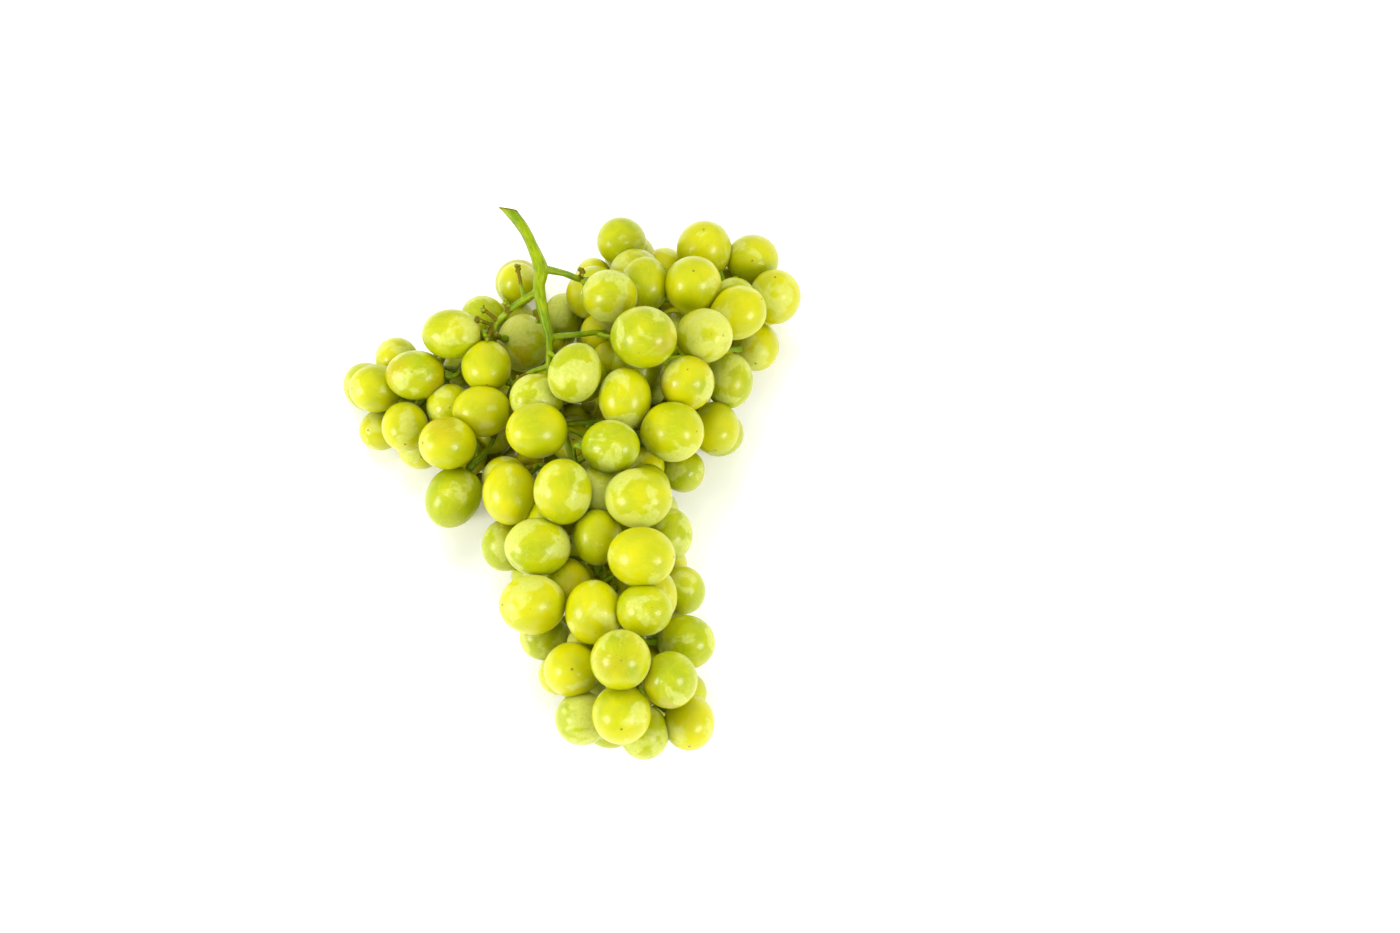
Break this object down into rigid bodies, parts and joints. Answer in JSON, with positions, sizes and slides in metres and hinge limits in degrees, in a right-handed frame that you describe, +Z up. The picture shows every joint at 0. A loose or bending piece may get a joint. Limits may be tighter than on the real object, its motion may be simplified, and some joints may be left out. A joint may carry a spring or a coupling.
{
  "type": "bunch of grapes",
  "caption": "Bunch of pale green table grapes lying on its side: oval berries in layers on a branching green stalk with a cut end.",
  "frame": {"origin": "on the surface it lies on, under the middle of its bounding box", "axes": "+Y from the tip of the bunch towards its cut stalk, +X across the bunch towards the right shoulder, +Z up"},
  "size_m": [0.1595, 0.2009, 0.0684],
  "materials": {
    "grape_skin": "smooth waxy skin, translucent flesh under it",
    "green_stalk": "matt green bark, brown at the cut and the scars"
  },
  "bodies": {
    "root": {"stalk": "green_stalk", "berries_left_shoulder": "grape_skin", "berries_right_shoulder": "grape_skin", "berries_body": "grape_skin"}
  },
  "joints": []
}
